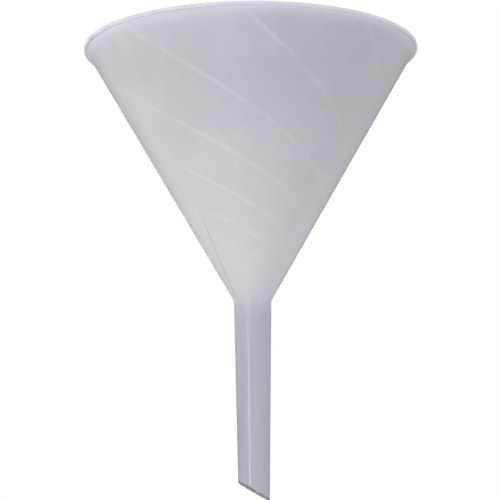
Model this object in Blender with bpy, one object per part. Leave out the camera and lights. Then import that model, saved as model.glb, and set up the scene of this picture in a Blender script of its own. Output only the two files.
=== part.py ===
# Long-stem filling funnel, moulded in one piece from natural polypropylene.
# Metres, +Z up. The origin is on the axis, at the height where the cone meets the stem.
import math

import bmesh
import bpy

MM = 0.001

# Outside
RIM_RADIUS = 75.0 * MM
CONE_HALF_ANGLE = math.radians(30.0)
CONE_HEIGHT = 114.3 * MM            # rim face down to the cone's meeting with the stem
STEM_LENGTH = 87.9 * MM             # from there down to the tip's longest point
STEM_TOP_RADIUS = 8.25 * MM
STEM_TIP_RADIUS = 6.75 * MM
TIP_CUT_ANGLE = math.radians(30.0)  # of the cut above level
LIP_THICKNESS = 1.65 * MM
LIP_EDGE_RADIUS = 0.5 * MM
NECK_FILLET_RADIUS = 3.0 * MM

# Wall
CONE_WALL = 1.5 * MM
STEM_TOP_WALL = 1.5 * MM
STEM_TIP_WALL = 1.2 * MM
THROAT_FILLET_RADIUS = 6.0 * MM

# Spiral ribs inside the cone, which let air out past the liquid
RIB_COUNT = 8
RIB_TURNS = 1.0                     # of each rib about the axis, from mouth to throat
RIB_GATHER = 1.1                    # above 1, a rib leaves the mouth straighter than it ends
RIB_START_ANGLE = math.radians(40.5)
RIB_WIDTH = 1.8 * MM
RIB_HEIGHT = 0.7 * MM
RIB_FADE = 3.0 * MM                 # change in radius over which an end of a rib fades out
RIB_END_RADIUS = 7.75 * MM

# Mesh
COLUMNS_PER_RIB = 8
RIB_COLUMNS = 4                     # foot, crest, crest, foot; the rest share the valley
OUTER_CONE_RINGS = 6
INNER_CONE_RINGS = 40
STEM_RINGS = 3
ARC_STEPS = 3
CUT_ALLOWANCE = 3.0 * MM
WELD_DISTANCE = 0.001 * MM

COLUMNS = RIB_COUNT * COLUMNS_PER_RIB
COLUMN_STEP = math.tau / COLUMNS
PITCH_ANGLE = math.tau / RIB_COUNT
CONE_TAPER = math.tan(CONE_HALF_ANGLE)
STEM_TAPER = (STEM_TOP_RADIUS - STEM_TIP_RADIUS) / STEM_LENGTH
BORE_TOP_RADIUS = STEM_TOP_RADIUS - STEM_TOP_WALL
BORE_TAPER = STEM_TAPER - (STEM_TOP_WALL - STEM_TIP_WALL) / STEM_LENGTH
INNER_OFFSET = CONE_WALL / math.cos(CONE_HALF_ANGLE)
MOUTH_RADIUS = STEM_TOP_RADIUS + CONE_TAPER * CONE_HEIGHT - INNER_OFFSET
RIB_REACH = math.log(MOUTH_RADIUS / RIB_END_RADIUS)
RIB_SLANT = math.hypot(1.0, RIB_TURNS * math.tau / RIB_REACH * math.sin(CONE_HALF_ANGLE))

POLYPROPYLENE = (0.58, 0.57, 0.62, 1.0)


def clear_scene():
    for old in list(bpy.data.objects):
        bpy.data.objects.remove(old, do_unlink=True)


def outer_cone_radius(z):
    return STEM_TOP_RADIUS + CONE_TAPER * z


def inner_cone_radius(z):
    return outer_cone_radius(z) - INNER_OFFSET


def stem_radius(z):
    return STEM_TOP_RADIUS + STEM_TAPER * z


def bore_radius(z):
    return BORE_TOP_RADIUS + BORE_TAPER * z


def line(start, end, pieces):
    # points after start, up to and including end
    return [(start[0] + (end[0] - start[0]) * i / pieces,
             start[1] + (end[1] - start[1]) * i / pieces) for i in range(1, pieces + 1)]


def arc(centre, radius, first, last, pieces):
    # points on a circle from the first angle to the last, both ends included
    angles = [first + (last - first) * i / pieces for i in range(pieces + 1)]
    return [(centre[0] + radius * math.cos(a), centre[1] + radius * math.sin(a)) for a in angles]


def fillet(corner_z, corner_radius, fillet_radius, taper_below):
    # an arc on the air side of the corner that a cone and a tapered tube make, top to bottom
    lean_below = math.atan(taper_below)
    turn = CONE_HALF_ANGLE - lean_below
    tangent = fillet_radius * math.tan(turn / 2.0)
    top = (corner_radius + tangent * math.sin(CONE_HALF_ANGLE),
           corner_z + tangent * math.cos(CONE_HALF_ANGLE))
    centre = (top[0] + fillet_radius * math.cos(CONE_HALF_ANGLE),
              top[1] - fillet_radius * math.sin(CONE_HALF_ANGLE))
    return arc(centre, fillet_radius, math.pi - CONE_HALF_ANGLE, math.pi - lean_below, ARC_STEPS)


def throat_corner():
    # where the inside of the cone meets the bore
    z = (BORE_TOP_RADIUS - inner_cone_radius(0.0)) / (CONE_TAPER - BORE_TAPER)
    return bore_radius(z), z


def wall_section():
    # closed outline of the wall in the XZ plane: outside from top to bottom, then back up inside
    lip_centre_r = RIM_RADIUS - LIP_EDGE_RADIUS
    lip_bottom = CONE_HEIGHT - LIP_THICKNESS
    outline = arc((lip_centre_r, CONE_HEIGHT - LIP_EDGE_RADIUS), LIP_EDGE_RADIUS,
                  math.radians(90), 0.0, ARC_STEPS)
    outline += arc((lip_centre_r, lip_bottom + LIP_EDGE_RADIUS), LIP_EDGE_RADIUS,
                   0.0, math.radians(-90), ARC_STEPS)
    lip_root = (outer_cone_radius(lip_bottom), lip_bottom)
    outline.append(lip_root)
    neck = fillet(0.0, STEM_TOP_RADIUS, NECK_FILLET_RADIUS, STEM_TAPER)
    outline += line(lip_root, neck[0], OUTER_CONE_RINGS)
    outline += neck[1:]

    stem_end = -STEM_LENGTH - CUT_ALLOWANCE
    outline += line(neck[-1], (stem_radius(stem_end), stem_end), STEM_RINGS)
    bore_end = (bore_radius(stem_end), stem_end)
    outline.append(bore_end)

    corner_radius, corner_z = throat_corner()
    throat = fillet(corner_z, corner_radius, THROAT_FILLET_RADIUS, BORE_TAPER)
    throat.reverse()
    outline += line(bore_end, throat[0], STEM_RINGS)
    outline += throat[1:]
    outline += inner_cone_rings(throat[-1][0])
    return outline


def inner_cone_rings(lowest_radius):
    # rings in equal ratio, so that each turns a rib by much the same angle
    ratio = MOUTH_RADIUS / lowest_radius
    radii = [lowest_radius * ratio ** (i / INNER_CONE_RINGS) for i in range(1, INNER_CONE_RINGS + 1)]
    return [(r, CONE_HEIGHT - (MOUTH_RADIUS - r) / CONE_TAPER) for r in radii]


def column_angle(column, radius):
    # each rib's columns stay a rib's width apart, and the valley columns share what is left
    rib, place = divmod(column, COLUMNS_PER_RIB)
    width = RIB_WIDTH * RIB_SLANT / max(radius, STEM_TOP_RADIUS)
    if place < RIB_COLUMNS:
        local = width * (place / (RIB_COLUMNS - 1) - 0.5)
    else:
        valley = (PITCH_ANGLE - width) / (COLUMNS_PER_RIB - RIB_COLUMNS + 1)
        local = width / 2.0 + valley * (place - RIB_COLUMNS + 1)
    return RIB_START_ANGLE + rib * PITCH_ANGLE + local


def rib_turn(radius):
    # nearly an even spiral, which keeps the same angle to the slope all the way down
    inward = math.log(MOUTH_RADIUS / min(max(radius, RIB_END_RADIUS), MOUTH_RADIUS))
    return RIB_TURNS * math.tau * (inward / RIB_REACH) ** RIB_GATHER


def rib_rise(column, radius):
    if column % COLUMNS_PER_RIB not in (1, 2):
        return 0.0
    fade = min((MOUTH_RADIUS - radius) / RIB_FADE, (radius - RIB_END_RADIUS) / RIB_FADE, 1.0)
    return RIB_HEIGHT * max(fade, 0.0)


def spin_section(mesh, outline):
    # columns start at +X, one spin step apart
    verts = [mesh.verts.new((r, 0.0, z)) for r, z in outline]
    edges = [mesh.edges.new((a, b)) for a, b in zip(verts, verts[1:] + verts[:1])]
    bmesh.ops.spin(mesh, geom=verts + edges, cent=(0.0, 0.0, 0.0), axis=(0.0, 0.0, 1.0),
                   angle=math.tau, steps=COLUMNS, use_merge=True)
    bmesh.ops.remove_doubles(mesh, verts=mesh.verts, dist=WELD_DISTANCE)


def shape_ribs(mesh):
    corner_z = throat_corner()[1]
    for vert in mesh.verts:
        radius = math.hypot(vert.co.x, vert.co.y)
        z = vert.co.z
        column = round(math.atan2(vert.co.y, vert.co.x) / COLUMN_STEP) % COLUMNS
        angle = column_angle(column, radius)
        inside = z > corner_z and abs(radius - inner_cone_radius(z)) < CONE_WALL / 4.0
        if inside:
            angle += rib_turn(radius)
            rise = rib_rise(column, radius)
            radius -= rise * math.cos(CONE_HALF_ANGLE)
            z += rise * math.sin(CONE_HALF_ANGLE)
        vert.co = (radius * math.cos(angle), radius * math.sin(angle), z)


def cut_tip(mesh):
    # the point of the stem is on the +X side
    low_point = (STEM_TIP_RADIUS, 0.0, -STEM_LENGTH)
    up = (math.sin(TIP_CUT_ANGLE), 0.0, math.cos(TIP_CUT_ANGLE))
    geometry = mesh.verts[:] + mesh.edges[:] + mesh.faces[:]
    cut = bmesh.ops.bisect_plane(mesh, geom=geometry, dist=WELD_DISTANCE, plane_co=low_point,
                                 plane_no=up, clear_inner=True)
    rims = [item for item in cut["geom_cut"] if isinstance(item, bmesh.types.BMEdge)]
    bmesh.ops.bridge_loops(mesh, edges=rims)


def plastic():
    material = bpy.data.materials.new("natural_polypropylene")
    material.use_nodes = True
    shader = material.node_tree.nodes["Principled BSDF"]
    shader.inputs["Base Color"].default_value = POLYPROPYLENE
    shader.inputs["Roughness"].default_value = 0.35
    shader.inputs["Metallic"].default_value = 0.0
    return material


def funnel_body():
    mesh = bmesh.new()
    spin_section(mesh, wall_section())
    shape_ribs(mesh)
    cut_tip(mesh)
    # short diagonals keep the twisted faces inside the cone close to its true surface
    bmesh.ops.triangulate(mesh, faces=mesh.faces, quad_method="SHORT_EDGE")
    bmesh.ops.recalc_face_normals(mesh, faces=mesh.faces)
    data = bpy.data.meshes.new("funnel_body")
    mesh.to_mesh(data)
    mesh.free()
    data.shade_smooth()
    data.set_sharp_from_angle(angle=math.radians(40.0))
    data.materials.append(plastic())
    body = bpy.data.objects.new("funnel_body", data)
    bpy.context.collection.objects.link(body)
    return body


clear_scene()
funnel_body()
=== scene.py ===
import math

import bmesh
import bpy
from mathutils import Matrix, Vector


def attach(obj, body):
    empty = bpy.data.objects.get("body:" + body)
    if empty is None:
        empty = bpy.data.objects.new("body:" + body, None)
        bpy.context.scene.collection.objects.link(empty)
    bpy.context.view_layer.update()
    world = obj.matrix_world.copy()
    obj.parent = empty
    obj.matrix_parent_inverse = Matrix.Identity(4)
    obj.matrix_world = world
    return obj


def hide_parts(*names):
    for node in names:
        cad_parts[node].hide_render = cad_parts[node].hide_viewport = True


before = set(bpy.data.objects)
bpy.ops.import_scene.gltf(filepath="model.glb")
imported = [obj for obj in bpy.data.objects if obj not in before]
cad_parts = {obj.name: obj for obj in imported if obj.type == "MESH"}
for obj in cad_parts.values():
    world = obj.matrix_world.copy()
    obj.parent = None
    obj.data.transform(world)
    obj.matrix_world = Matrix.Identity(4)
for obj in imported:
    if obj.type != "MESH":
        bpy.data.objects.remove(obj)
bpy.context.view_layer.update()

mm = 0.001


def newNode(tree, kind, **settings):
    node = tree.nodes.new(kind)
    for name, value in settings.items():
        setattr(node, name, value)
    return node


def setInputs(node, values):
    for name, value in values.items():
        node.inputs[name].default_value = value


def blankMaterial(name):
    material = bpy.data.materials.new(name)
    material.use_nodes = True
    material.node_tree.nodes.clear()
    return material


# shape of the funnel; angles are in degrees, and a rounding starts that far from its corner
funnelSize = {
    "rimRadius": 75.0 * mm,
    "coneHeight": 114.3 * mm,      # rim face down to the neck, where the origin is
    "coneHalfAngle": 30.0,
    "stemLength": 87.9 * mm,       # neck down to the point of the tip
    "stemTopRadius": 8.25 * mm,
    "stemTipRadius": 6.75 * mm,
    "tipCutAngle": 30.0,           # of the slanted tip above level
    "lipThickness": 1.65 * mm,
    "coneWall": 1.5 * mm,
    "stemTopWall": 1.5 * mm,
    "stemTipWall": 1.2 * mm,
    "rimRounding": 0.5 * mm,
    "lipRootRounding": 0.4 * mm,   # where the underside of the lip meets the cone
    "neckRounding": 0.8 * mm,
    "throatRounding": 1.6 * mm,    # inside, where the cone meets the bore
    "tipRounding": 0.5 * mm,
    "ribCount": 8,
    "ribTurns": 1.0,               # of each rib about the axis, from mouth to throat
    "ribGather": 1.1,              # above 1, a rib leaves the mouth straighter than it ends
    "ribStart": 40.5,
    "ribWidth": 2.0 * mm,
    "ribHeight": 0.7 * mm,
    "ribFade": 3.0 * mm,           # change in radius over which an end of a rib fades out
    "ribEndRadius": 7.75 * mm,
    "columnsPerRib": 32,           # columns of faces from one rib to the next
    "ribColumns": 14,              # how many of them lie on the rib
    "ringSpacing": 1.3 * mm,
    "cornerSegments": 6,
    "tipSegments": 5,
    "sharpAngle": 50.0,
    "weldDistance": 0.001 * mm,
    "cutMargin": 3.0 * mm,         # how far the uncut stem runs on past the tip
    "cutReach": 12.0 * mm,         # a ring this far above the tip lies clear of the cut
}


def funnelOutline(size):
    # corners of the wall's section with the rounding of each: outside from the top, then up inside
    angle = math.radians(size["coneHalfAngle"])
    slope = math.tan(angle)
    top = size["coneHeight"]
    lipBottom = top - size["lipThickness"]
    stemTaper = (size["stemTopRadius"] - size["stemTipRadius"]) / size["stemLength"]
    boreTop = size["stemTopRadius"] - size["stemTopWall"]
    boreTip = size["stemTipRadius"] - size["stemTipWall"]
    boreTaper = (boreTop - boreTip) / size["stemLength"]
    coneAtNeck = size["stemTopRadius"] - size["coneWall"] / math.cos(angle)
    throatHeight = (boreTop - coneAtNeck) / (slope - boreTaper)
    below = size["stemLength"] + size["cutMargin"]
    clearOfCut = size["stemLength"] - size["cutReach"]
    return [
        (size["rimRadius"], top, size["rimRounding"]),
        (size["rimRadius"], lipBottom, size["rimRounding"]),
        (size["stemTopRadius"] + slope * lipBottom, lipBottom, size["lipRootRounding"]),
        (size["stemTopRadius"], 0.0, size["neckRounding"]),
        (size["stemTopRadius"] - stemTaper * clearOfCut, -clearOfCut, 0.0),
        (size["stemTopRadius"] - stemTaper * below, -below, 0.0),
        (boreTop - boreTaper * below, -below, 0.0),
        (boreTop - boreTaper * clearOfCut, -clearOfCut, 0.0),
        (boreTop + boreTaper * throatHeight, throatHeight, size["throatRounding"]),
        (coneAtNeck + slope * top, top, size["rimRounding"]),
    ]


def sectionMesh(size):
    # the section as a wire loop in the XZ plane, with its corners rounded
    section = bmesh.new()
    corners = funnelOutline(size)
    points = [section.verts.new((radius, 0.0, height)) for radius, height, _ in corners]
    for first, second in zip(points, points[1:] + points[:1]):
        section.edges.new((first, second))
    for point, (_, _, rounding) in zip(points, corners):
        if rounding:
            bmesh.ops.bevel(section, geom=[point], affect="VERTICES", offset=rounding,
                            segments=size["cornerSegments"], profile=0.5, material=-1)
    return section


def cutLongEdges(section, longest):
    for edge in list(section.edges):
        pieces = math.ceil(edge.calc_length() / longest)
        if pieces > 1:
            bmesh.ops.subdivide_edges(section, edges=[edge], cuts=pieces - 1)


def mouthRadius(size):
    # of the inside of the cone, at the height of the rim face
    angle = math.radians(size["coneHalfAngle"])
    outer = size["stemTopRadius"] + math.tan(angle) * size["coneHeight"]
    return outer - size["coneWall"] / math.cos(angle)


def ribTurn(size, radius):
    # how far round a rib has gone when it has come in to a radius
    mouth = mouthRadius(size)
    whole = math.log(mouth / size["ribEndRadius"])
    gone = math.log(mouth / min(max(radius, size["ribEndRadius"]), mouth))
    return size["ribTurns"] * math.tau * (gone / whole) ** size["ribGather"]


def ribSlant(size):
    # how much wider a rib's slanting section is than one square to it
    whole = math.log(mouthRadius(size) / size["ribEndRadius"])
    tightness = size["ribTurns"] * math.tau / whole
    return math.hypot(1.0, tightness * math.sin(math.radians(size["coneHalfAngle"])))


def ribColumn(size, column, radius):
    # angle of a column of the mesh, and how far up the rib's rounded section it lies
    perRib = size["columnsPerRib"]
    inRib = size["ribColumns"]
    pitch = math.tau / size["ribCount"]
    rib, place = divmod(column, perRib)
    width = size["ribWidth"] * ribSlant(size) / max(radius, size["stemTopRadius"])
    if place <= inRib:
        across = place / inRib - 0.5
        local = width * across
        rise = math.cos(math.pi * across) ** 2
    else:
        local = width / 2 + (pitch - width) * (place - inRib) / (perRib - inRib)
        rise = 0.0
    return math.radians(size["ribStart"]) + rib * pitch + local, rise


def shapeRibs(mesh, size):
    columns = size["ribCount"] * size["columnsPerRib"]
    angle = math.radians(size["coneHalfAngle"])
    mouth = mouthRadius(size)
    for vert in mesh.verts:
        radius = math.hypot(vert.co.x, vert.co.y)
        height = vert.co.z
        column = round(math.atan2(vert.co.y, vert.co.x) / math.tau * columns) % columns
        turn, rise = ribColumn(size, column, radius)
        innerRadius = mouth - math.tan(angle) * (size["coneHeight"] - height)
        onInside = abs(radius - innerRadius) < size["coneWall"] / 4
        if height > 0.0 and onInside:
            turn += ribTurn(size, radius)
            fade = min((mouth - radius) / size["ribFade"],
                       (radius - size["ribEndRadius"]) / size["ribFade"], 1.0)
            lift = size["ribHeight"] * rise * max(fade, 0.0)
            radius -= lift * math.cos(angle)
            height += lift * math.sin(angle)
        vert.co = (radius * math.cos(turn), radius * math.sin(turn), height)


def cutTip(mesh, size):
    cutAngle = math.radians(size["tipCutAngle"])
    cut = bmesh.ops.bisect_plane(
        mesh, geom=mesh.verts[:] + mesh.edges[:] + mesh.faces[:], dist=size["weldDistance"],
        plane_co=(size["stemTipRadius"], 0.0, -size["stemLength"]),
        plane_no=(math.sin(cutAngle), 0.0, math.cos(cutAngle)), clear_inner=True)
    rims = [item for item in cut["geom_cut"] if isinstance(item, bmesh.types.BMEdge)]
    bmesh.ops.bridge_loops(mesh, edges=rims)
    bmesh.ops.bevel(mesh, geom=rims, affect="EDGES", offset=size["tipRounding"],
                    segments=size["tipSegments"], profile=0.5, material=-1)


def makeFunnel(size):
    mesh = sectionMesh(size)
    cutLongEdges(mesh, size["ringSpacing"])
    bmesh.ops.spin(mesh, geom=mesh.verts[:] + mesh.edges[:], cent=(0, 0, 0), axis=(0, 0, 1),
                   angle=math.tau, steps=size["ribCount"] * size["columnsPerRib"],
                   use_merge=True)
    bmesh.ops.remove_doubles(mesh, verts=mesh.verts, dist=size["weldDistance"])
    shapeRibs(mesh, size)
    cutTip(mesh, size)
    bmesh.ops.recalc_face_normals(mesh, faces=mesh.faces)
    data = bpy.data.meshes.new("funnelMoulding")
    mesh.to_mesh(data)
    mesh.free()
    data.shade_smooth()
    data.set_sharp_from_angle(angle=math.radians(size["sharpAngle"]))
    moulding = bpy.data.objects.new("funnelMoulding", data)
    bpy.context.collection.objects.link(moulding)
    return moulding


# look of the plastic; heights are above the neck, turns are degrees about the axis
plasticLook = {
    "ior": 1.49,
    "scatterReach": 2.0 * mm,
    # painted light and shade by height: the stem darker and bluer, the cone lightest near its foot
    # and darker towards the top
    "stemTip": (0.640, 0.677, 0.718, 1.0),
    "stem": (0.652, 0.684, 0.724, 1.0),
    "stemHeight": -8.0 * mm,       # above it the stem's painted shade turns into the cone's lighter painted tone
    "litConeFoot": (0.80, 0.79, 0.822, 1.0),
    "coneFootHeight": 2.4 * mm,
    "litConeLow": (0.822, 0.812, 0.845, 1.0),
    "coneLowHeight": 12.0 * mm,
    "shadedConeTop": (0.65, 0.655, 0.687, 1.0),
    "coneTopShare": 0.8,           # of the cone's height, where that painted shade is reached
    # painted light: a lighter band under the lip, and the thin lip lighter and bluer where light
    # comes through it
    "rimGlow": (0.73, 0.735, 0.775, 1.0),
    "rimGlowWidth": 6.0 * mm,
    "lip": (0.82, 0.86, 0.965, 1.0),
    "lipBlend": 0.8 * mm,
    "neckBlend": 4.0 * mm,         # either side of the neck, where the blush patches begin
    "blush": (0.82, 0.775, 0.82, 1.0),
    "blushSize": 30.0 * mm,
    "blushAmount": 0.25,
    "blushLimits": (0.45, 0.65),   # noise below the first has none, above the second all
    # painted light: lighter lines where light through the ribs inside shows on the outside
    "paintedRibLight": (0.95, 0.94, 0.97, 1.0),
    "ribLineWidth": 3.2 * mm,
    "ribLineAmount": 0.28,
    "ribLineLeast": 0.5,           # share left where the line is weakest along its length
    "ribLineLimits": (0.35, 0.6),
    "ribLitTurn": -100.0,         # the side where the light falls and the painted rib light is strongest
    "ribShowLeast": 0.17,          # how much of that is left on the far side
    "ribShowFocus": 4.0,           # higher makes the strong side narrower
    "ribLineStart": (12.0 * mm, 30.0 * mm),    # heights where the lines appear and are full
    "ribLineEnd": 5.0 * mm,        # they fade over this much below the rim
    "cloudSize": 9.0 * mm,
    "cloudDetail": 4.0,
    "cloudDepth": 0.05,
    "grainSize": 1.2 * mm,
    "grainDetail": 3.0,
    "grainDepth": 0.12,
    # painted reflection low on the cone's left: a dark edge line with a lighter band beside it
    "reflectionEdge": (0.69, 0.645, 0.69, 1.0),
    "reflectionEdgeReach": 0.88 * mm,    # either side of its middle
    "reflectionEdgeTurn": (-147.0, -139.0),          # at its foot and its top
    "reflectionEdgeHeight": (1.0 * mm, 42.0 * mm),
    "reflectionEdgeFull": (3.0 * mm, 25.2 * mm),     # between these heights it's at full strength
    "reflectionBand": (0.835, 0.79, 0.825, 1.0),
    "reflectionBandStart": 1.15,        # degrees past the edge line where the painted reflection band is full
    "reflectionBandFade": (12.0, 36.0),             # degrees past the line where it fades away
    # painted shade along the cut edge of the tip, where it faces down away from the light
    "cutEdgeShade": (0.40, 0.42, 0.45, 1.0),
    "cutEdgeShadeFade": (0.76 * mm, 0.95 * mm),     # distance from the cut where the painted shade on the edge ends
    "tipGlint": (0.85, 0.88, 0.9, 1.0),            # painted glint, a small pale highlight on the dark cut edge
    "tipGlintTurn": -78.0,
    "tipGlintRise": 0.3 * mm,          # above the plane of the cut
    "tipGlintFade": (0.375 * mm, 0.75 * mm),
    "coneRoughness": 0.245,
    "stemRoughness": 0.10,
    "glossHeight": (-60.0 * mm, 25.0 * mm),    # where the stem's gloss starts and ends dulling
    "roughnessChange": 0.04,
    "skinSize": 1.6 * mm,          # moulded orange peel
    "skinDepth": 0.012 * mm,
    "waveSize": 5.0 * mm,          # slow unevenness down the stem
    "waveDetail": 1.0,
    "waveDepth": 0.035 * mm,
}


def calc(tree, operation, *values):
    node = newNode(tree, "ShaderNodeMath", operation=operation)
    for socket, value in zip(node.inputs, values):
        if isinstance(value, bpy.types.NodeSocket):
            tree.links.new(value, socket)
        else:
            socket.default_value = value
    return node.outputs[0]


def remap(tree, value, low, high, fromLow=0.0, fromHigh=1.0):
    node = newNode(tree, "ShaderNodeMapRange", interpolation_type="SMOOTHSTEP")
    tree.links.new(value, node.inputs["Value"])
    setInputs(node, {"From Min": fromLow, "From Max": fromHigh, "To Min": low, "To Max": high})
    return node.outputs["Result"]


def noise(tree, place, size, detail=2.0, roughness=0.55):
    node = newNode(tree, "ShaderNodeTexNoise")
    tree.links.new(place, node.inputs["Vector"])
    setInputs(node, {"Scale": 1.0 / size, "Detail": detail, "Roughness": roughness})
    return node.outputs["Fac"]


def mixColour(tree, amount, first, second):
    node = newNode(tree, "ShaderNodeMix", data_type="RGBA")
    for name, value in (("Factor_Float", amount), ("A_Color", first), ("B_Color", second)):
        socket = next(item for item in node.inputs if item.identifier == name)
        if isinstance(value, bpy.types.NodeSocket):
            tree.links.new(value, socket)
        else:
            socket.default_value = value
    return next(item for item in node.outputs if item.identifier == "Result_Color")


def heightColour(tree, height, stops):
    # a colour ramp whose stops are heights on the funnel
    lowest = stops[0][0]
    highest = stops[-1][0]
    share = newNode(tree, "ShaderNodeMapRange")
    tree.links.new(height, share.inputs["Value"])
    setInputs(share, {"From Min": lowest, "From Max": highest})
    ramp = newNode(tree, "ShaderNodeValToRGB")
    tree.links.new(share.outputs["Result"], ramp.inputs["Fac"])
    colours = ramp.color_ramp.elements
    while len(colours) < len(stops):
        colours.new(0.5)
    for element, (at, colour) in zip(colours, stops):
        element.position = (at - lowest) / (highest - lowest)
        element.color = colour
    return ramp.outputs["Color"]


def ribLightPattern(tree, axes, size, look):
    # mask of painted light: 1 along the line of each rib, which shows through the wall, falling to
    # 0 at the line's edges
    pitch = math.tau / size["ribCount"]
    slope = math.tan(math.radians(size["coneHalfAngle"]))
    mouth = mouthRadius(size)
    throat = mouth - slope * size["coneHeight"]
    whole = math.log(mouth / size["ribEndRadius"])
    turn = calc(tree, "ARCTAN2", axes["Y"], axes["X"])
    radius = calc(tree, "ADD", calc(tree, "MULTIPLY", axes["Z"], slope), throat)
    radius = calc(tree, "MAXIMUM", radius, size["ribEndRadius"])
    gone = calc(tree, "LOGARITHM", calc(tree, "DIVIDE", mouth, radius), math.e)
    gone = calc(tree, "MAXIMUM", calc(tree, "DIVIDE", gone, whole), 0.0)
    gone = calc(tree, "POWER", gone, size["ribGather"])
    local = calc(tree, "SUBTRACT", turn, calc(tree, "MULTIPLY", gone, size["ribTurns"] * math.tau))
    local = calc(tree, "SUBTRACT", local, math.radians(size["ribStart"]))
    away = calc(tree, "PINGPONG", calc(tree, "DIVIDE", local, pitch), 0.5)
    away = calc(tree, "MULTIPLY", calc(tree, "MULTIPLY", away, pitch / ribSlant(size)), radius)
    line = remap(tree, away, 1.0, 0.0, 0.0, look["ribLineWidth"] / 2)
    # painted light: the lines show more on the side of the cone where the light falls than on the
    # other
    side = calc(tree, "SUBTRACT", turn, math.radians(look["ribLitTurn"]))
    side = calc(tree, "MULTIPLY_ADD", calc(tree, "COSINE", side), 0.5, 0.5)
    side = calc(tree, "POWER", calc(tree, "MAXIMUM", side, 0.0), look["ribShowFocus"])
    side = calc(tree, "MULTIPLY_ADD", side, 1.0 - look["ribShowLeast"], look["ribShowLeast"])
    line = calc(tree, "MULTIPLY", line, side)
    fadeIn = remap(tree, axes["Z"], 0.0, 1.0, *look["ribLineStart"])
    fadeOut = remap(tree, axes["Z"], 1.0, 0.0, size["coneHeight"] - look["ribLineEnd"],
                    size["coneHeight"])
    return calc(tree, "MULTIPLY", calc(tree, "MULTIPLY", line, fadeIn), fadeOut)


def paintedReflection(tree, axes, look):
    # painted reflection low on the cone: how much of the lighter band, and how much of its dark
    # edge line
    foot, top = look["reflectionEdgeHeight"]
    fullFoot, fullTop = look["reflectionEdgeFull"]
    footTurn, topTurn = (math.radians(turn) for turn in look["reflectionEdgeTurn"])
    lean = newNode(tree, "ShaderNodeMapRange", clamp=False)
    tree.links.new(axes["Z"], lean.inputs["Value"])
    setInputs(lean, {"From Min": foot, "From Max": top, "To Min": footTurn, "To Max": topTurn})
    turn = calc(tree, "ARCTAN2", axes["Y"], axes["X"])
    past = calc(tree, "SUBTRACT", lean.outputs["Result"], turn)
    radius = calc(tree, "SQRT", calc(tree, "ADD", calc(tree, "MULTIPLY", axes["X"], axes["X"]),
                                     calc(tree, "MULTIPLY", axes["Y"], axes["Y"])))
    away = calc(tree, "MULTIPLY", calc(tree, "ABSOLUTE", past), radius)
    line = remap(tree, away, 1.0, 0.0, 0.0, look["reflectionEdgeReach"])
    fadeStart, fadeEnd = (math.radians(turn) for turn in look["reflectionBandFade"])
    blush = calc(tree, "MULTIPLY",
                 remap(tree, past, 0.0, 1.0, 0.0, math.radians(look["reflectionBandStart"])),
                 remap(tree, past, 1.0, 0.0, fadeStart, fadeEnd))
    strength = calc(tree, "MULTIPLY", remap(tree, axes["Z"], 0.0, 1.0, foot, fullFoot),
                    remap(tree, axes["Z"], 1.0, 0.0, fullTop, top))
    return calc(tree, "MULTIPLY", blush, strength), calc(tree, "MULTIPLY", line, strength)


def aboveCut(tree, axes, size):
    # distance up from the plane of the slanted tip
    cutAngle = math.radians(size["tipCutAngle"])
    across = calc(tree, "MULTIPLY", axes["X"], math.sin(cutAngle))
    up = calc(tree, "MULTIPLY", axes["Z"], math.cos(cutAngle))
    reach = size["stemTipRadius"] * math.sin(cutAngle) - size["stemLength"] * math.cos(cutAngle)
    return calc(tree, "SUBTRACT", calc(tree, "ADD", across, up), reach)


# painted glint on the cut edge: 1 at the spot, fading to 0
def tipGlintAmount(tree, place, look, size):
    radius = size["stemTipRadius"]
    turn = math.radians(look["tipGlintTurn"])
    across = radius * math.cos(turn)
    up = (radius - across) * math.tan(math.radians(size["tipCutAngle"]))
    away = newNode(tree, "ShaderNodeVectorMath", operation="DISTANCE")
    tree.links.new(place, away.inputs[0])
    away.inputs[1].default_value = (across, radius * math.sin(turn),
                                    up - size["stemLength"] + look["tipGlintRise"])
    return remap(tree, away.outputs["Value"], 1.0, 0.0, *look["tipGlintFade"])


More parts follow.
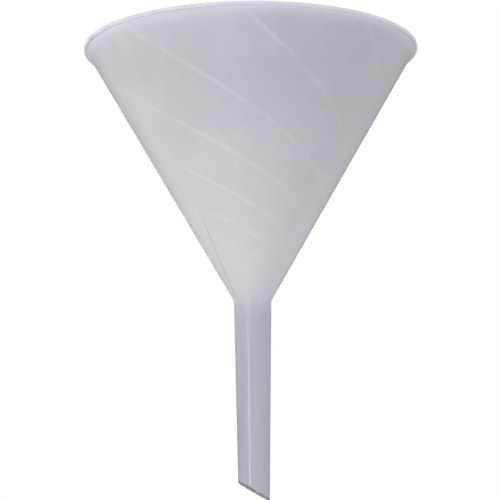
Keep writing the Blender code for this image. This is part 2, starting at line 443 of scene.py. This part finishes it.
def plasticColour(tree, place, axes, look, size):
    top = size["coneHeight"]
    lipBottom = top - size["lipThickness"]
    # painted light and shade by height, from the stem's darker tone up to the lit lip
    colour = heightColour(tree, axes["Z"], [
        (-size["stemLength"], look["stemTip"]),
        (look["stemHeight"], look["stem"]),
        (look["coneFootHeight"], look["litConeFoot"]),
        (look["coneLowHeight"], look["litConeLow"]),
        (look["coneTopShare"] * top, look["shadedConeTop"]),
        (top - look["rimGlowWidth"], look["shadedConeTop"]),
        (lipBottom - look["lipBlend"], look["rimGlow"]),
        (lipBottom, look["lip"]),
        (top, look["lip"]),
    ])
    onCone = remap(tree, axes["Z"], 0.0, 1.0, -look["neckBlend"], look["neckBlend"])
    patches = remap(tree, noise(tree, place, look["blushSize"]), 0.0, look["blushAmount"],
                    *look["blushLimits"])
    colour = mixColour(tree, calc(tree, "MULTIPLY", patches, onCone), colour, look["blush"])
    # painted light where the ribs show through the wall
    uneven = remap(tree, noise(tree, place, look["cloudSize"]), look["ribLineLeast"], 1.0,
                   *look["ribLineLimits"])
    ribs = calc(tree, "MULTIPLY", ribLightPattern(tree, axes, size, look), uneven)
    ribs = calc(tree, "MULTIPLY", ribs, look["ribLineAmount"])
    colour = mixColour(tree, ribs, colour, look["paintedRibLight"])
    # painted reflection: a lighter band and its dark edge line
    blush, line = paintedReflection(tree, axes, look)
    colour = mixColour(tree, blush, colour, look["reflectionBand"])
    colour = mixColour(tree, line, colour, look["reflectionEdge"])
    # painted shade along the cut edge of the tip
    edge = remap(tree, aboveCut(tree, axes, size), 1.0, 0.0, *look["cutEdgeShadeFade"])
    colour = mixColour(tree, edge, colour, look["cutEdgeShade"])
    # painted glint on that shaded edge
    colour = mixColour(tree, tipGlintAmount(tree, place, look, size), colour, look["tipGlint"])
    # cloudiness and grain lighten and darken it about an average of 1
    cloud = noise(tree, place, look["cloudSize"], look["cloudDetail"])
    grain = noise(tree, place, look["grainSize"], look["grainDetail"])
    shade = calc(tree, "ADD", calc(tree, "MULTIPLY", cloud, look["cloudDepth"]),
                 calc(tree, "MULTIPLY", grain, look["grainDepth"]))
    shade = calc(tree, "ADD", shade, 1.0 - (look["cloudDepth"] + look["grainDepth"]) / 2)
    tone = newNode(tree, "ShaderNodeVectorMath", operation="SCALE")
    tree.links.new(colour, tone.inputs[0])
    tree.links.new(shade, tone.inputs["Scale"])
    return tone.outputs[0]


def plasticRoughness(tree, place, axes, look):
    base = remap(tree, axes["Z"], look["stemRoughness"], look["coneRoughness"],
                 *look["glossHeight"])
    change = calc(tree, "MULTIPLY", noise(tree, place, look["cloudSize"]), look["roughnessChange"])
    return calc(tree, "ADD", base, calc(tree, "SUBTRACT", change, look["roughnessChange"] / 2))


def plasticBump(tree, place, look):
    wave = noise(tree, place, look["waveSize"], look["waveDetail"])
    skin = noise(tree, place, look["skinSize"])
    height = calc(tree, "ADD", calc(tree, "MULTIPLY", wave, look["waveDepth"]),
                  calc(tree, "MULTIPLY", skin, look["skinDepth"]))
    bump = newNode(tree, "ShaderNodeBump")
    setInputs(bump, {"Strength": 1.0, "Distance": 1.0})
    tree.links.new(height, bump.inputs["Height"])
    return bump.outputs["Normal"]


def milkyPlastic(look, size):
    material = blankMaterial("milkyPolypropylene")
    tree = material.node_tree
    output = newNode(tree, "ShaderNodeOutputMaterial")
    shader = newNode(tree, "ShaderNodeBsdfPrincipled", subsurface_method="RANDOM_WALK")
    setInputs(shader, {
        "IOR": look["ior"],
        "Subsurface Weight": 1.0,
        "Subsurface Radius": (1.0, 1.0, 1.0),
        "Subsurface Scale": look["scatterReach"],
    })
    place = newNode(tree, "ShaderNodeTexCoord").outputs["Object"]
    split = newNode(tree, "ShaderNodeSeparateXYZ")
    tree.links.new(place, split.inputs[0])
    axes = split.outputs
    colour = plasticColour(tree, place, axes, look, size)
    tree.links.new(colour, shader.inputs["Base Color"])
    tree.links.new(plasticRoughness(tree, place, axes, look), shader.inputs["Roughness"])
    tree.links.new(plasticBump(tree, place, look), shader.inputs["Normal"])
    tree.links.new(shader.outputs["BSDF"], output.inputs["Surface"])
    return material


studio = {
    "floorDrop": 200 * mm,
    "floorSize": 4.0,
    "floorColour": (0.85, 0.85, 0.86, 1.0),
    "floorRoughness": 0.7,
    "floorGlow": (0.90, 0.90, 0.90, 1.0),
    "floorEvenness": 0.93,         # hides the edges of the lights' reach on the floor
    "ambient": (1.0, 1.0, 1.0, 1.0),
    "ambientStrength": 0.19,
    "backdrop": (1.0, 1.0, 1.0, 1.0),
    "backdropStrength": 1.0,
}


def mixShader(tree, amount, first, second, output):
    node = newNode(tree, "ShaderNodeMixShader")
    for source, socket in zip((amount, first, second), node.inputs):
        tree.links.new(source, socket)
    tree.links.new(node.outputs[0], output.inputs["Surface"])


def makeFloor(values):
    sheet = bmesh.new()
    bmesh.ops.create_grid(sheet, x_segments=1, y_segments=1, size=values["floorSize"] / 2)
    bmesh.ops.translate(sheet, verts=sheet.verts, vec=(0, 0, -values["floorDrop"]))
    data = bpy.data.meshes.new("floor")
    sheet.to_mesh(data)
    sheet.free()
    floor = bpy.data.objects.new("floor", data)
    bpy.context.collection.objects.link(floor)
    material = blankMaterial("paleFloor")
    tree = material.node_tree
    output = newNode(tree, "ShaderNodeOutputMaterial")
    shader = newNode(tree, "ShaderNodeBsdfPrincipled")
    setInputs(shader, {"Base Color": values["floorColour"],
                       "Roughness": values["floorRoughness"]})
    glow = newNode(tree, "ShaderNodeEmission")
    setInputs(glow, {"Color": values["floorGlow"], "Strength": 1.0})
    seen = newNode(tree, "ShaderNodeLightPath").outputs["Is Camera Ray"]
    mixShader(tree, calc(tree, "MULTIPLY", seen, values["floorEvenness"]),
              shader.outputs["BSDF"], glow.outputs["Emission"], output)
    data.materials.append(material)


def makeWorld(values):
    # the camera sees a white backdrop, and the funnel gets a weaker even light
    world = bpy.data.worlds.new("studioLight")
    bpy.context.scene.world = world
    world.use_nodes = True
    tree = world.node_tree
    tree.nodes.clear()
    output = newNode(tree, "ShaderNodeOutputWorld")
    ambient = newNode(tree, "ShaderNodeBackground")
    setInputs(ambient, {"Color": values["ambient"], "Strength": values["ambientStrength"]})
    backdrop = newNode(tree, "ShaderNodeBackground")
    setInputs(backdrop, {"Color": values["backdrop"], "Strength": values["backdropStrength"]})
    seen = newNode(tree, "ShaderNodeLightPath").outputs["Is Camera Ray"]
    mixShader(tree, seen, ambient.outputs[0], backdrop.outputs[0], output)


# what a light has where it doesn't say otherwise
lightDefaults = {
    "colour": (1.0, 1.0, 1.0),
    "aim": (0.0, 0.0, 0.03),
    "spread": 180.0,
    "gloss": True,
    "diffuse": True,
}

# what the three narrow lights on the outer parts of the cone share
edgeBeam = {"size": (0.3, 0.2), "aim": (0.0, 0.0, 0.12), "spread": 20.0, "gloss": False}

lights = {
    "overheadLight": {"place": (0.0, 0.0, 1.2), "size": (0.8, 0.8), "power": 3.4},
    "upperRightLight": {"place": (0.7, -0.2, 1.0), "size": (0.6, 0.6), "power": 2.9,
                        "colour": (1.0, 0.90, 1.0), "gloss": False},
    "frontLight": {"place": (0.0, -1.4, 0.15), "size": (0.8, 0.6), "power": 2.0, "gloss": False},
    "lowLeftLight": {"place": (-0.5, -0.6, -0.17), "size": (0.4, 0.25), "power": 2.35,
                     "gloss": False},
    "rightLight": {"place": (1.0, -0.9, 0.03), "size": (0.8, 0.8), "power": 3.1,
                   "colour": (1.0, 0.87, 1.0), "gloss": False},
    "leftEdgeLight": {**edgeBeam, "place": (-1.25, -0.2, 0.17), "power": 0.063},
    "leftRearEdgeLight": {**edgeBeam, "place": (-1.0, 0.8, 0.17), "power": 0.118},
    "rightRearEdgeLight": {**edgeBeam, "place": (1.0, 0.8, 0.17), "power": 0.13},
    "lowFrontLight": {"place": (0.15, -1.1, -0.14), "size": (0.5, 0.08), "power": 0.5,
                      "gloss": False},
    "stripLight": {"place": (-0.58, -1.03, 0.07), "size": (0.10, 0.3), "power": 0.46,
                   "aim": (0.0, 0.0, -0.045), "diffuse": False},
    "stripFoot": {"place": (-0.576, -1.023, -0.025), "size": (0.06, 0.13), "power": 0.26,
                  "aim": (0.0, 0.0, -0.045), "diffuse": False},
}


def areaLight(name, setup):
    # a soft box; gloss off keeps it from mirroring in the plastic, diffuse off does only that
    setup = {**lightDefaults, **setup}
    data = bpy.data.lights.new(name, "AREA")
    data.shape = "RECTANGLE"
    data.size, data.size_y = setup["size"]
    data.energy = setup["power"]
    data.color = setup["colour"]
    data.spread = math.radians(setup["spread"])
    lamp = bpy.data.objects.new(name, data)
    bpy.context.collection.objects.link(lamp)
    place = Vector(setup["place"])
    facing = Vector(setup["aim"]) - place
    lamp.location = place
    lamp.rotation_euler = facing.to_track_quat("-Z", "Y").to_euler()
    lamp.visible_glossy = setup["gloss"]
    lamp.visible_diffuse = setup["diffuse"]


cameraSetup = {
    "distance": 847 * mm,
    "elevation": -9.85,
    "roll": -0.445,
    "look": (-1.0 * mm, 0.0, 22.7 * mm),
    "lens": 137.5,                 # millimetres, as is the sensor
    "sensorWidth": 36.0,
}


def makeCamera(values):
    data = bpy.data.cameras.new("camera")
    data.lens = values["lens"]
    data.sensor_width = values["sensorWidth"]
    camera = bpy.data.objects.new("camera", data)
    bpy.context.collection.objects.link(camera)
    tilt = math.radians(values["elevation"])
    back = Vector((0, -math.cos(tilt), math.sin(tilt))) * values["distance"]
    turn = Matrix.Rotation(math.radians(90) - tilt, 4, "X")
    turn @= Matrix.Rotation(math.radians(values["roll"]), 4, "Z")
    camera.matrix_world = Matrix.Translation(Vector(values["look"]) + back) @ turn
    bpy.context.scene.camera = camera


bpy.context.scene.view_settings.view_transform = "Standard"
makeCamera(cameraSetup)
print("camera placed")

funnel = makeFunnel(funnelSize)
funnel.data.materials.append(milkyPlastic(plasticLook, funnelSize))
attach(funnel, "root")
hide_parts("funnel_body")
print("funnel made:", len(funnel.data.polygons), "faces")

makeFloor(studio)
makeWorld(studio)
for name, setup in lights.items():
    areaLight(name, setup)
print("studio lit")
